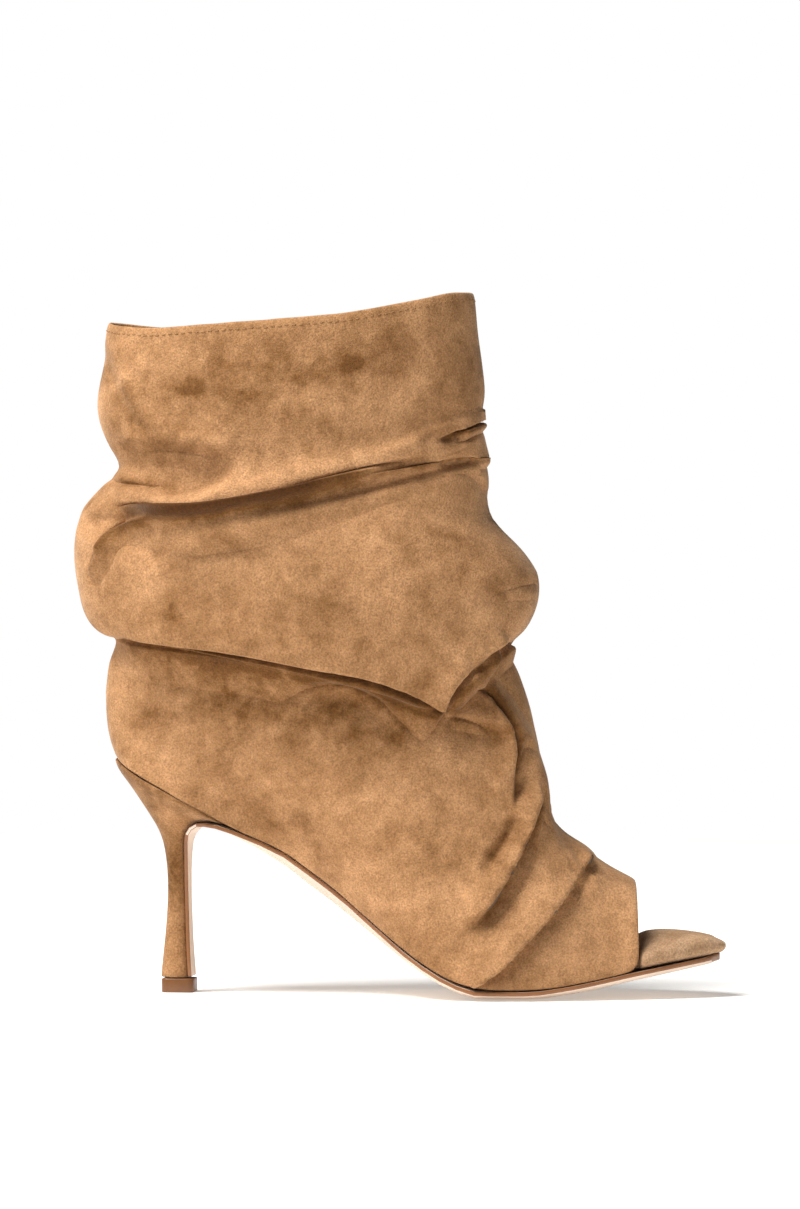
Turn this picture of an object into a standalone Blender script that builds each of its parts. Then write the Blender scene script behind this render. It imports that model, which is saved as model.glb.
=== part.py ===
"""Peep toe ankle boot for a right foot: slouched suede upper on a flared stiletto heel.

The frame's origin is the centre of the top piece's lower face, on the floor.
+X runs to the toe, +Y to the inner side of the foot, and +Z up.
"""

import math
from collections import namedtuple

import bmesh
import bpy
from mathutils import Vector

# Driving sizes, in metres
FOOT_LENGTH = 0.234  # back of the counter to the tip of the toe
BALL_WIDTH = 0.077  # sole's width over the ball of the foot
HEEL_HEIGHT = 0.088  # floor to the seam between upper and heel, at the back
SHAFT_HEIGHT = 0.175  # that seam to the top of the collar
SHAFT_WIDTH = 0.082  # widest fold, across the leg
HEEL_SETBACK = 0.0282  # back of the counter to the middle of the top piece
TOE_SPRING = 0.0135  # underside of the toe's tip above the floor
OPENING_HEIGHT = 0.0335  # toe opening, above the sole's upper face
WALL = 0.0018  # suede and lining of the upper
SOLE_THICKNESS = 0.0014  # leather outsole at its edge
FOOTBED_THICKNESS = 0.0030  # footbed at the heel
FOOTBED_PADDING = 0.0040  # what its edge gains by the toe
FOOTBED_DOME = 0.0038  # how far its middle stands above its edges at the toe opening
FOOTBED_TWIST = 0.0042  # how far its inner edge stands above its outer edge there
TOP_PIECE_HEIGHT = 0.0056
TOP_PIECE_LENGTH = 0.0122
TOP_PIECE_WIDTH = 0.0128
TOP_PIECE_CORNER = 0.0022  # radius of its upright corners
TIP_WIDTH = 0.0015  # half width left at the very tip of sole and footbed
PLATE_LENGTH = 0.011  # plain oval plate under the shank
PLATE_WIDTH = 0.008
PLATE_THICKNESS = 0.0008
GAP = 0.0003  # room between two pieces that meet

# Where things come along the foot, as shares of FOOT_LENGTH from the back of the counter
SEAT_BACK = 0.017
SEAT_ROUND = 0.115  # the seat is widest here
BREAST_TOP = 0.205  # front edge of the heel's seat
TOE_START = 0.70  # the toe narrows from here
OPENING_OUTER = 0.872  # toe opening at the sole, outer side
OPENING_INNER = 0.850  # and inner side: its edge is cut on the slant
OPENING_TOP = 0.857  # toe opening at its top
PLATE_PLACE = 0.396
FOOTBED_BACK = 0.032
FOREFOOT_START, FOREFOOT_END = 0.45, 0.85  # the footbed's padding grows between these
DOME_START, DOME_END = 0.80, 0.87  # and its dome and twist rise between these
NOSE_START = 0.945  # its edge rolls down to the tip from here

# The toe's outline in plan is a superellipse with these two powers
TOE_POINT = 1.2
TOE_ROUND = 0.55

# The last's bottom, a row for each section of the sole.
# along: share of FOOT_LENGTH. lift: underside's centre, share of HEEL_HEIGHT.
# spring: share of TOE_SPRING. crown: the edge above that centre, share of BALL_WIDTH.
# width: half width, share of BALL_WIDTH. swing: centre line towards +Y, share of BALL_WIDTH.
LastRow = namedtuple("LastRow", "along lift spring crown width swing")
LAST = [
    LastRow(0.017, 0.984, 0.0, 0.000, 0.000, 0.000),
    LastRow(0.072, 0.897, 0.0, 0.000, 0.262, 0.000),
    LastRow(0.111, 0.847, 0.0, 0.000, 0.298, 0.000),
    LastRow(0.144, 0.796, 0.0, 0.000, 0.304, 0.002),
    LastRow(0.183, 0.741, 0.0, 0.002, 0.282, 0.006),
    LastRow(0.222, 0.668, 0.0, 0.012, 0.245, 0.010),
    LastRow(0.287, 0.568, 0.0, 0.045, 0.212, 0.015),
    LastRow(0.326, 0.489, 0.0, 0.056, 0.208, 0.015),
    LastRow(0.388, 0.370, 0.0, 0.058, 0.240, 0.010),
    LastRow(0.451, 0.244, 0.0, 0.049, 0.322, 0.000),
    LastRow(0.511, 0.131, 0.0, 0.039, 0.410, -0.010),
    LastRow(0.569, 0.045, 0.0, 0.032, 0.470, -0.018),
    LastRow(0.608, 0.008, 0.0, 0.028, 0.492, -0.018),
    LastRow(0.625, 0.000, 0.0, 0.027, 0.497, -0.016),
    LastRow(0.700, 0.000, 0.0, 0.027, 0.490, 0.000),
    LastRow(0.762, 0.000, 0.13, 0.027, 0.440, 0.016),
    LastRow(0.877, 0.000, 0.55, 0.024, 0.300, 0.040),
    LastRow(1.000, 0.000, 1.00, 0.016, 0.000, 0.060),
]

# Rings of the upper over the foot, from the sole's edge up to the crease under the lowest fold.
# back_up, back_out: the counter's line, as a share of the way up and of FOOT_LENGTH outwards.
# front_up, front_in: the instep's line, as shares of the way from the toe opening to the crease.
# lean, spread, rise: how far each ring has gone in x, y and z from the sole's edge to the crease.
# bulge: how far the ball stands out, share of BALL_WIDTH. rows: mesh rows below this ring.
VampRing = namedtuple("VampRing", "back_up back_out front_up front_in lean spread rise bulge rows")
VAMP = [
    VampRing(0.10, 0.0095, 0.075, 0.290, 0.05, 0.20, 0.06, 0.014, 2),
    VampRing(0.22, 0.0153, 0.146, 0.435, 0.12, 0.40, 0.14, 0.022, 2),
    VampRing(0.36, 0.0185, 0.235, 0.650, 0.25, 0.58, 0.27, 0.026, 2),
    VampRing(0.50, 0.0197, 0.400, 0.735, 0.40, 0.74, 0.42, 0.024, 2),
    VampRing(0.66, 0.0175, 0.570, 0.770, 0.58, 0.87, 0.59, 0.016, 2),
    VampRing(0.82, 0.0125, 0.765, 0.845, 0.78, 0.96, 0.79, 0.006, 2),
]

# Rings of the shaft, from the crease under the lowest fold up to the collar.
# back, front: share of FOOT_LENGTH from the back of the counter. width: share of SHAFT_WIDTH.
# rows: mesh rows below this ring. heights: the ring on the outer side, at the stations of
# STATIONS from back to front, as shares of SHAFT_HEIGHT above the heel's seam.
STATIONS = [0.0, 0.12, 0.25, 0.38, 0.5, 0.62, 0.75, 0.88, 1.0]
ShaftRing = namedtuple("ShaftRing", "name back front width rows heights")
SHAFT = [
    ShaftRing("lower crease", 0.017, 0.655, 0.78, 2,
              [0.260, 0.254, 0.243, 0.220, 0.191, 0.157, 0.106, 0.206, 0.246]),
    ShaftRing("lower lip", -0.012, 0.680, 0.89, 2,
              [0.278, 0.263, 0.247, 0.223, 0.191, 0.151, 0.109, 0.240, 0.283]),
    ShaftRing("lower fold", -0.038, 0.701, 0.975, 2,
              [0.326, 0.314, 0.303, 0.280, 0.251, 0.217, 0.183, 0.297, 0.337]),
    ShaftRing("fold's widest", -0.048, 0.703, 1.00, 2,
              [0.423, 0.411, 0.395, 0.375, 0.355, 0.337, 0.326, 0.366, 0.394]),
    ShaftRing("fold's shoulder", -0.049, 0.669, 0.975, 2,
              [0.469, 0.440, 0.423, 0.434, 0.446, 0.451, 0.457, 0.457, 0.460]),
    ShaftRing("front hollow", -0.048, 0.622, 0.94, 1,
              [0.489, 0.460, 0.449, 0.463, 0.483, 0.503, 0.520, 0.517, 0.514]),
    ShaftRing("fold's top", -0.046, 0.623, 0.885, 2,
              [0.503, 0.480, 0.471, 0.489, 0.520, 0.554, 0.600, 0.626, 0.634]),
    ShaftRing("upper crease", -0.041, 0.620, 0.70, 1,
              [0.526, 0.509, 0.500, 0.514, 0.543, 0.574, 0.614, 0.636, 0.642]),
    ShaftRing("roll's lip", -0.031, 0.622, 0.84, 2,
              [0.551, 0.537, 0.535, 0.540, 0.566, 0.597, 0.629, 0.643, 0.651]),
    ShaftRing("roll", 0.000, 0.616, 0.88, 1,
              [0.593, 0.583, 0.577, 0.580, 0.609, 0.640, 0.666, 0.674, 0.683]),
    ShaftRing("tuck", 0.029, 0.614, 0.82, 1,
              [0.626, 0.631, 0.617, 0.609, 0.634, 0.663, 0.683, 0.703, 0.711]),
    ShaftRing("band's foot", 0.007, 0.603, 0.84, 1,
              [0.666, 0.674, 0.660, 0.640, 0.666, 0.691, 0.709, 0.726, 0.731]),
    ShaftRing("band", -0.015, 0.616, 0.855, 2,
              [0.754, 0.754, 0.743, 0.737, 0.743, 0.754, 0.766, 0.777, 0.783]),
    ShaftRing("band's top", -0.003, 0.606, 0.83, 2,
              [0.863, 0.857, 0.849, 0.851, 0.857, 0.866, 0.880, 0.897, 0.906]),
    ShaftRing("collar", 0.005, 0.599, 0.805, 2,
              [0.941, 0.931, 0.923, 0.931, 0.940, 0.953, 0.980, 0.999, 1.000]),
]
COLLAR_INNER = [0.941, 0.939, 0.932, 0.934, 0.942, 0.956, 0.980, 0.998, 1.000]
INNER_EVENING = 0.35  # how much straighter the folds run on the inner side
SHAFT_SQUARENESS = 0.85  # power of the sine in the shaft's rings

# Pleats of the outer side, where the suede laps over itself towards the toe.
# path: share of FOOT_LENGTH from the back of the counter, and share of HEEL_HEIGHT.
# height, behind, ahead: how far it stands out and how fast it dies away towards heel and toe,
# as shares of BALL_WIDTH. start, end: how much of its height it has at the path's two ends.
Pleat = namedtuple("Pleat", "name height behind ahead start end path")
PLEATS = [
    Pleat("toe pleat", 0.034, 0.13, 0.030, 1.0, 0.2,
          [(0.799, 0.608), (0.785, 0.511), (0.734, 0.330), (0.667, 0.119), (0.615, 0.034)]),
    Pleat("vamp pleat", 0.036, 0.13, 0.040, 1.0, 0.1,
          [(0.721, 0.932), (0.708, 0.727), (0.675, 0.511), (0.629, 0.341), (0.603, 0.273)]),
    Pleat("pinch", 0.050, 0.12, 0.040, 0.5, 0.2,
          [(0.602, 1.341), (0.638, 1.227), (0.663, 1.148), (0.675, 1.011), (0.675, 0.898),
           (0.670, 0.807)]),
]
PLEAT_REACH = 0.13  # how far past the middle of the instep a pleat reaches, share of BALL_WIDTH

# The heel, a row for each section from the seat down.
# back_x, front_x: from the middle of the top piece, share of HEEL_SETBACK.
# back_z, front_z: share of HEEL_HEIGHT. width: share of BALL_WIDTH.
HeelRow = namedtuple("HeelRow", "back_x back_z front_x front_z width")
HEEL = [
    HeelRow(-0.82, 0.966, 0.60, 0.728, 0.285),
    HeelRow(-0.73, 0.927, 0.43, 0.734, 0.250),
    HeelRow(-0.61, 0.875, 0.30, 0.731, 0.212),
    HeelRow(-0.49, 0.816, 0.19, 0.712, 0.172),
    HeelRow(-0.37, 0.757, 0.12, 0.682, 0.134),
    HeelRow(-0.26, 0.700, 0.09, 0.645, 0.102),
    HeelRow(-0.19, 0.633, 0.083, 0.595, 0.080),
    HeelRow(-0.153, 0.545, 0.080, 0.520, 0.066),
    HeelRow(-0.138, 0.443, 0.083, 0.430, 0.060),
    HeelRow(-0.156, 0.324, 0.093, 0.324, 0.062),
    HeelRow(-0.184, 0.227, 0.103, 0.227, 0.067),
    HeelRow(-0.213, 0.148, 0.117, 0.148, 0.074),
    HeelRow(-0.236, 0.068, 0.135, 0.068, 0.081),
]

# Mesh counts
HALF_COLUMNS = 26  # columns of the upper on each side
ARCH_COLUMNS = 6  # those of them that end at the toe opening
SOLE_STATIONS = 38
FOOTBED_STATIONS = 26
TOE_STATIONS = 10
HEEL_ARC = 10
SHARP_ANGLE = math.radians(40)

SUEDE = (0.47, 0.28, 0.13, 1.0)
EDGE_BROWN = (0.25, 0.10, 0.03, 1.0)
STEEL = (0.60, 0.60, 0.58, 1.0)


def mix(a, b, share):
    return a + (b - a) * share


def smooth_step(value):
    value = min(max(value, 0.0), 1.0)
    return value * value * (3.0 - 2.0 * value)


def smooth_curve(places, values, place):
    """Reads a smooth curve through the values that never passes a pair of neighbours."""
    if place <= places[0]:
        return values[0]
    if place >= places[-1]:
        return values[-1]
    steps = [b - a for a, b in zip(places, places[1:])]
    slopes = [(b - a) / step for a, b, step in zip(values, values[1:], steps)]
    index = max(i for i in range(len(steps)) if places[i] <= place)

    def tangent(i):
        if i in (0, len(steps)):
            return slopes[min(i, len(steps) - 1)]
        before, after = slopes[i - 1], slopes[i]
        if before * after <= 0.0:
            return 0.0
        return 2.0 * before * after / (before + after)

    t = (place - places[index]) / steps[index]
    rise = 3 * t**2 - 2 * t**3
    pull_in = (t**3 - 2 * t**2 + t) * steps[index]
    pull_out = (t**3 - t**2) * steps[index]
    return (
        mix(values[index], values[index + 1], rise)
        + pull_in * tangent(index)
        + pull_out * tangent(index + 1)
    )


def last_value(column, along):
    return smooth_curve([row.along for row in LAST], [getattr(row, column) for row in LAST], along)


def foot_x(along):
    return along * FOOT_LENGTH - HEEL_SETBACK


def sole_floor(along):
    """Height of the sole's underside on its centre line."""
    return last_value("lift", along) * HEEL_HEIGHT + last_value("spring", along) * TOE_SPRING


def sole_crown(along):
    return last_value("crown", along) * BALL_WIDTH


def feather_z(along):
    """Height of the sole's upper face, where upper and footbed sit."""
    return sole_floor(along) + sole_crown(along) + SOLE_THICKNESS


def centre_y(along):
    return last_value("swing", along) * BALL_WIDTH


def half_width(along):
    """The sole's half width, with a round seat and an almond toe."""
    if along < SEAT_ROUND:
        reach = (SEAT_ROUND - along) / (SEAT_ROUND - SEAT_BACK)
        return last_value("width", SEAT_ROUND) * BALL_WIDTH * math.sqrt(max(0.0, 1.0 - reach**2))
    if along > TOE_START:
        reach = min((along - TOE_START) / (1.0 - TOE_START), 1.0)
        shape = max(0.0, 1.0 - reach**TOE_POINT) ** TOE_ROUND
        return last_value("width", TOE_START) * BALL_WIDTH * shape
    return last_value("width", along) * BALL_WIDTH


def evenly(points, count):
    """Reads count + 1 points at even steps along a run of points."""
    lengths = [0.0]
    for a, b in zip(points, points[1:]):
        lengths.append(lengths[-1] + (b - a).length)
    found = []
    index = 0
    for step in range(count + 1):
        place = lengths[-1] * step / count
        while index < len(lengths) - 2 and lengths[index + 1] < place:
            index += 1
        span = lengths[index + 1] - lengths[index]
        share = (place - lengths[index]) / span if span else 0.0
        found.append(points[index].lerp(points[index + 1], min(share, 1.0)))
    return found


def edge_point(along, side, inset):
    """A point of the sole's outline, drawn in by inset; side is -1 outside and +1 inside."""
    width = max(half_width(along) - inset, 0.0)
    return Vector((foot_x(along), centre_y(along) + side * width, feather_z(along)))


def outline(first, last, side, inset, count):
    """count + 1 even points of the sole's outline between two places along the foot."""
    fine = 200
    run = []
    for step in range(fine + 1):
        # The steps close up at both ends, where the outline turns fastest.
        share = 0.5 - 0.5 * math.cos(math.pi * step / fine)
        run.append(edge_point(mix(first, last, share), side, inset))
    return evenly(run, count)


def new_material(name, colour, roughness, metallic=0.0):
    material = bpy.data.materials.new(name)
    material.use_nodes = True
    shader = material.node_tree.nodes["Principled BSDF"]
    shader.inputs["Base Color"].default_value = colour
    shader.inputs["Roughness"].default_value = roughness
    shader.inputs["Metallic"].default_value = metallic
    material.diffuse_color = colour
    return material


def new_piece(name, shape, material):
    """Makes an object of a bmesh, with its normals outwards."""
    bmesh.ops.recalc_face_normals(shape, faces=shape.faces)
    mesh = bpy.data.meshes.new(name)
    shape.to_mesh(mesh)
    shape.free()
    mesh.shade_smooth()
    mesh.set_sharp_from_angle(angle=SHARP_ANGLE)
    mesh.materials.append(material)
    piece = bpy.data.objects.new(name, mesh)
    bpy.context.scene.collection.objects.link(piece)
    return piece


def skin(shape, rings, closed_rings=True):
    """Joins rings of points with quads, and gives the rings of vertices back."""
    rows = [[shape.verts.new(point) for point in ring] for ring in rings]
    last = len(rings[0]) if closed_rings else len(rings[0]) - 1
    for below, above in zip(rows, rows[1:]):
        for i in range(last):
            j = (i + 1) % len(below)
            shape.faces.new((below[i], below[j], above[j], above[i]))
    return rows


def cap_across(shape, ring):
    """Closes a ring with strips from its outer side to its inner side."""
    half = len(ring) // 2
    for i in range(half):
        corners = [ring[i], ring[i + 1], ring[-i - 1], ring[-i]]
        shape.faces.new(list(dict.fromkeys(corners)))


def both_sides(outer_half, inner_half):
    """One closed ring from two half rings that share their first and last points."""
    return outer_half + inner_half[-2:0:-1]


# Upper

def opening_foot(side):
    """Where the toe opening's edge meets the sole, on one side."""
    return OPENING_INNER if side > 0 else OPENING_OUTER


def toe_arch(side, inset):
    """The toe opening's edge from the sole to its top, over one side."""
    place = opening_foot(side)
    width = half_width(place) - inset
    foot = edge_point(place, side, inset)
    top_x = foot_x(OPENING_TOP)
    top_y = centre_y(OPENING_TOP)
    rise = OPENING_HEIGHT - inset
    run = []
    for step in range(61):
        angle = 0.5 * math.pi * step / 60
        across = math.cos(angle) ** 0.8
        up = math.sin(angle) ** 0.9
        run.append(Vector((
            mix(top_x, foot.x, across),
            mix(top_y, centre_y(place), across) + side * width * across,
            foot.z + rise * up,
        )))
    return evenly(run, ARCH_COLUMNS)


def base_half(side, inset):
    """The upper's lowest line: along the sole's edge, then over the toe opening."""
    edge = outline(SEAT_BACK, opening_foot(side), side, inset, HALF_COLUMNS - ARCH_COLUMNS)
    half = edge + toe_arch(side, inset)[1:]
    return [point + Vector((0.0, 0.0, 1.5 * GAP)) for point in half]


def shaft_half(ring, side):
    """One side of a shaft ring, from back to front."""
    heights = ring.heights
    if side > 0 and ring.name == "collar":
        heights = COLLAR_INNER
    back_x, front_x = foot_x(ring.back), foot_x(ring.front)
    half = []
    for column in range(HALF_COLUMNS + 1):
        turn = column / HALF_COLUMNS
        height = smooth_curve(STATIONS, heights, turn)
        if side > 0 and ring.name != "collar":
            height = mix(height, mix(heights[0], heights[-1], turn), INNER_EVENING)
        across = max(math.sin(math.pi * turn), 0.0) ** SHAFT_SQUARENESS
        half.append(Vector((
            mix(back_x, front_x, 0.5 - 0.5 * math.cos(math.pi * turn)),
            side * across * 0.5 * ring.width * SHAFT_WIDTH,
            HEEL_HEIGHT + height * SHAFT_HEIGHT,
        )))
    return half


def vamp_half(ring, base, crease, side):
    """One side of a ring over the foot, between the sole's edge and the lower crease."""
    back = Vector((
        mix(base[0].x, crease[0].x, ring.back_up) - ring.back_out * FOOT_LENGTH,
        0.0,
        mix(base[0].z, crease[0].z, ring.back_up),
    ))
    front = Vector((
        mix(base[-1].x, crease[-1].x, ring.front_in),
        mix(base[-1].y, crease[-1].y, ring.front_in),
        mix(base[-1].z, crease[-1].z, ring.front_up),
    ))
    half = []
    for column, (low, high) in enumerate(zip(base, crease)):
        turn = column / HALF_COLUMNS
        hump = math.exp(-(((turn - 0.60) / 0.16) ** 2))
        half.append(Vector((
            mix(low.x, high.x, ring.lean),
            mix(low.y, high.y, ring.spread) + side * hump * ring.bulge * BALL_WIDTH,
            mix(low.z, high.z, ring.rise),
        )))
    to_back = back - half[0]
    to_front = front - half[-1]
    for column in range(HALF_COLUMNS + 1):
        turn = column / HALF_COLUMNS
        half[column] += to_back * smooth_step(1.0 - turn / 0.30)
        half[column] += to_front * smooth_step((turn - 0.62) / 0.38)
    return half


def between(rings, counts):
    """Adds rows between rings with a Catmull-Rom curve along each column."""
    rows = [rings[0]]
    for i in range(len(rings) - 1):
        before = rings[max(i - 1, 0)]
        after = rings[min(i + 2, len(rings) - 1)]
        for step in range(1, counts[i] + 1):
            t = step / counts[i]
            row = []
            for a, b, c, d in zip(before, rings[i], rings[i + 1], after):
                row.append(0.5 * (
                    2 * b
                    + (c - a) * t
                    + (2 * a - 5 * b + 4 * c - d) * t**2
                    + (3 * b - a - 3 * c + d) * t**3
                ))
            rows.append(row)
    return rows


def grid_normals(rows):
    """A normal at each point of a grid of closed rings, evened out over the neighbours."""
    count = len(rows[0])
    normals = []
    for i, row in enumerate(rows):
        below, above = rows[max(i - 1, 0)], rows[min(i + 1, len(rows) - 1)]
        line = []
        for j in range(count):
            around = row[(j + 1) % count] - row[j - 1]
            line.append(around.cross(above[j] - below[j]).normalized())
        normals.append(line)
    for _ in range(2):
        evened = []
        for i in range(len(rows)):
            below, above = normals[max(i - 1, 0)], normals[min(i + 1, len(rows) - 1)]
            evened.append([
                (normals[i][j] * 2 + below[j] + above[j] + normals[i][j - 1]
                 + normals[i][(j + 1) % count]).normalized()
                for j in range(count)
            ])
        normals = evened
    return normals


def pleat_height(point):
    """How far the pleats push a point of the outer side outwards."""
    total = 0.0
    for pleat in PLEATS:
        path = [Vector((foot_x(along), up * HEEL_HEIGHT)) for along, up in pleat.path]
        here = Vector((point.x, point.z))
        best = None
        for i, (a, b) in enumerate(zip(path, path[1:])):
            run = b - a
            share = min(max((here - a).dot(run) / run.length_squared, 0.0), 1.0)
            away = here - (a + run * share)
            if best is None or away.length < best[0]:
                ahead = run.x * away.y - run.y * away.x > 0.0
                best = (away.length, ahead, (i + share) / (len(path) - 1))
        distance, ahead, place = best
        reach = (pleat.ahead if ahead else pleat.behind) * BALL_WIDTH
        strength = mix(pleat.start, pleat.end, place)
        total += pleat.height * BALL_WIDTH * strength * math.exp(-((distance / reach) ** 2))
    reach = PLEAT_REACH * BALL_WIDTH
    return total * smooth_step((reach - point.y) / (2.0 * reach))


def make_upper(material):
    """The hollow suede upper: open at the collar, at the toe and over the sole."""
    rings = []
    for side in (-1, 1):
        base = base_half(side, GAP)
        crease = shaft_half(SHAFT[0], side)
        halves = [base]
        halves += [vamp_half(ring, base, crease, side) for ring in VAMP]
        halves += [shaft_half(ring, side) for ring in SHAFT]
        rings.append(halves)
    rings = [both_sides(outer, inner) for outer, inner in zip(*rings)]
    counts = [ring.rows for ring in VAMP] + [ring.rows for ring in SHAFT]
    outside = between(rings, counts)
    base, rest = outside[0], outside[1:]
    pushed = [[point + normal * pleat_height(point) for point, normal in zip(row, normals)]
              for row, normals in zip(rest, grid_normals(outside)[1:])]
    outside = [base] + pushed
    inside = []
    for row, normals in zip(outside, grid_normals(outside)):
        inside.append([point - normal * WALL for point, normal in zip(row, normals)])
    inside[0] = both_sides(base_half(-1, GAP + WALL), base_half(1, GAP + WALL))

    shape = bmesh.new()
    outer_rows = skin(shape, outside)
    inner_rows = skin(shape, inside)
    for outer, inner in ((outer_rows[0], inner_rows[0]), (outer_rows[-1], inner_rows[-1])):
        for i in range(len(outer)):
            j = (i + 1) % len(outer)
            shape.faces.new((outer[i], outer[j], inner[j], inner[i]))
    return new_piece("upper", shape, material)


# Footbed

# across: share of the half width. up: share of the edge's height. dome: share of the dome.
SectionPoint = namedtuple("SectionPoint", "across up dome")
FOOTBED_SECTION = [
    SectionPoint(-0.90, 0.00, 0.00),
    SectionPoint(-1.00, 0.30, 0.00),
    SectionPoint(-0.98, 0.72, 0.00),
    SectionPoint(-0.84, 0.98, 0.15),
    SectionPoint(-0.45, 1.00, 0.75),
    SectionPoint(0.00, 1.00, 1.00),
    SectionPoint(0.45, 1.00, 0.75),
    SectionPoint(0.84, 0.98, 0.15),
    SectionPoint(0.98, 0.72, 0.00),
    SectionPoint(1.00, 0.30, 0.00),
    SectionPoint(0.90, 0.00, 0.00),
]
INSET_HEEL, INSET_FOREFOOT = 1.7, 2.8  # how far the footbed keeps inside the sole's edge, in walls
NOSE_EDGE = 0.30  # share of its height that the edge keeps at the very tip


def nose(along):
    """How much of the footbed's height is left, where its edge rolls down to the tip."""
    reach = max(along - NOSE_START, 0.0) / (1.0 - NOSE_START)
    return mix(NOSE_EDGE, 1.0, math.sqrt(max(0.0, 1.0 - reach**2)))


def make_footbed(material):
    """The padded insole: inside the upper, then out past the toe opening to the tip."""
    open_at = OPENING_OUTER + 1.5 * GAP / FOOT_LENGTH
    inner = [mix(FOOTBED_BACK, OPENING_OUTER, 0.5 - 0.5 * math.cos(math.pi * i / FOOTBED_STATIONS))
             for i in range(FOOTBED_STATIONS + 1)]
    toe = [mix(open_at, 0.999, math.sin(0.5 * math.pi * i / TOE_STATIONS))
           for i in range(TOE_STATIONS + 1)]
    rings = []
    for along in inner + toe:
        fore = smooth_step((along - FOREFOOT_START) / (FOREFOOT_END - FOREFOOT_START))
        inset = GAP if along >= open_at else mix(INSET_HEEL, INSET_FOREFOOT, fore) * WALL + 2 * GAP
        width = max(half_width(along) - inset, TIP_WIDTH)
        crest = smooth_step((along - DOME_START) / (DOME_END - DOME_START))
        crest *= 1.0 - smooth_step((along - open_at) / (1.0 - open_at))
        thick = (FOOTBED_THICKNESS + FOOTBED_PADDING * fore) * nose(along)
        foot = feather_z(along) + 1.5 * GAP
        ring = []
        for point in FOOTBED_SECTION:
            edge = thick + FOOTBED_TWIST * crest * (0.5 + 0.5 * point.across)
            height = foot + point.up * edge + point.dome * FOOTBED_DOME * crest
            ring.append(Vector((foot_x(along), centre_y(along) + point.across * width, height)))
        rings.append(ring)
    shape = bmesh.new()
    rows = skin(shape, rings)
    shape.faces.new(rows[0])
    shape.faces.new(rows[-1])
    return new_piece("footbed", shape, material)


# Outsole

FLAP_WIDTH = 0.92  # the flap's width, share of the heel's
FLAP_RUN_IN = 0.012  # the sole's first full section lies this share past the heel's seat


def breast_line():
    """The front of the heel in side view, from its foot up to the seat's front edge."""
    rows = reversed(HEEL)
    return [Vector((row.front_x * HEEL_SETBACK, row.front_z * HEEL_HEIGHT)) for row in rows]


def make_outsole(material):
    """The leather outsole, which turns down over the heel's breast."""
    rings = []
    flap = breast_line()
    widths = [row.width * BALL_WIDTH for row in reversed(HEEL)]
    for i, (place, width) in enumerate(zip(flap, widths)):
        along = flap[min(i + 1, len(flap) - 1)] - flap[max(i - 1, 0)]
        out = Vector((along.y, -along.x)).normalized()
        inner = place + out * GAP
        outer = place + out * (GAP + SOLE_THICKNESS)
        rings.append(sole_section(inner, outer, FLAP_WIDTH * width, 0.0, 0.0))
    first, last = BREAST_TOP + FLAP_RUN_IN, 0.999
    for i in range(SOLE_STATIONS + 1):
        along = mix(first, last, math.sin(0.5 * math.pi * i / SOLE_STATIONS) ** 0.9)
        top = Vector((foot_x(along), feather_z(along)))
        bottom = Vector((foot_x(along), feather_z(along) - SOLE_THICKNESS))
        width = max(half_width(along), TIP_WIDTH)
        rings.append(sole_section(top, bottom, width, centre_y(along), sole_crown(along)))
    shape = bmesh.new()
    rows = skin(shape, rings)
    shape.faces.new(rows[0])
    shape.faces.new(rows[-1])
    return new_piece("outsole", shape, material)


def sole_section(top, bottom, width, middle, crown):
    """One section of the sheet: a flat upper face, a thin edge and a crowned underside."""
    ring = []
    for across in (-1.0, -0.5, 0.0, 0.5, 1.0):
        ring.append(Vector((top.x, middle + across * width, top.y)))
    for across, drop in ((1.0, 0.0), (0.85, 0.7), (0.6, 1.0), (0.0, 1.0), (-0.6, 1.0),
                         (-0.85, 0.7), (-1.0, 0.0)):
        ring.append(Vector((bottom.x, middle + across * width, bottom.y - drop * crown)))
    return ring


# Heel and top piece

BREAST_ANGLE = 0.78 * math.pi  # how far round from its back the heel meets its breast
HEEL_ROUNDNESS = 0.9  # power of the sine in the heel's sections


def make_heel(material):
    """The suede covered heel, from the seat under the counter down to the top piece."""
    rings = []
    seat = []
    for side in (-1, 1):
        half = outline(SEAT_BACK, BREAST_TOP, side, GAP, HEEL_ARC)
        corner = half[-1]
        middle = centre_y(BREAST_TOP)
        half += [Vector((corner.x, mix(corner.y, middle, s), corner.z)) for s in (0.5, 1.0)]
        seat.append(half)
    rings.append(both_sides(*seat))
    for row in HEEL:
        halves = []
        for side in (-1, 1):
            half = []
            for i in range(HEEL_ARC + 1):
                turn = i / HEEL_ARC
                angle = turn * BREAST_ANGLE
                across = math.sin(angle) ** HEEL_ROUNDNESS
                share = (1.0 - math.cos(angle)) / (1.0 - math.cos(BREAST_ANGLE))
                half.append(Vector((
                    mix(row.back_x, row.front_x, share) * HEEL_SETBACK,
                    side * across * row.width * BALL_WIDTH,
                    mix(row.back_z, row.front_z, share) * HEEL_HEIGHT,
                )))
            corner = half[-1]
            half += [Vector((corner.x, corner.y * s, corner.z)) for s in (0.5, 0.0)]
            halves.append(half)
        rings.append(both_sides(*halves))
    shape = bmesh.new()
    rows = skin(shape, rings)
    cap_across(shape, rows[0])
    cap_across(shape, rows[-1])
    return new_piece("heel", shape, material)


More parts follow.
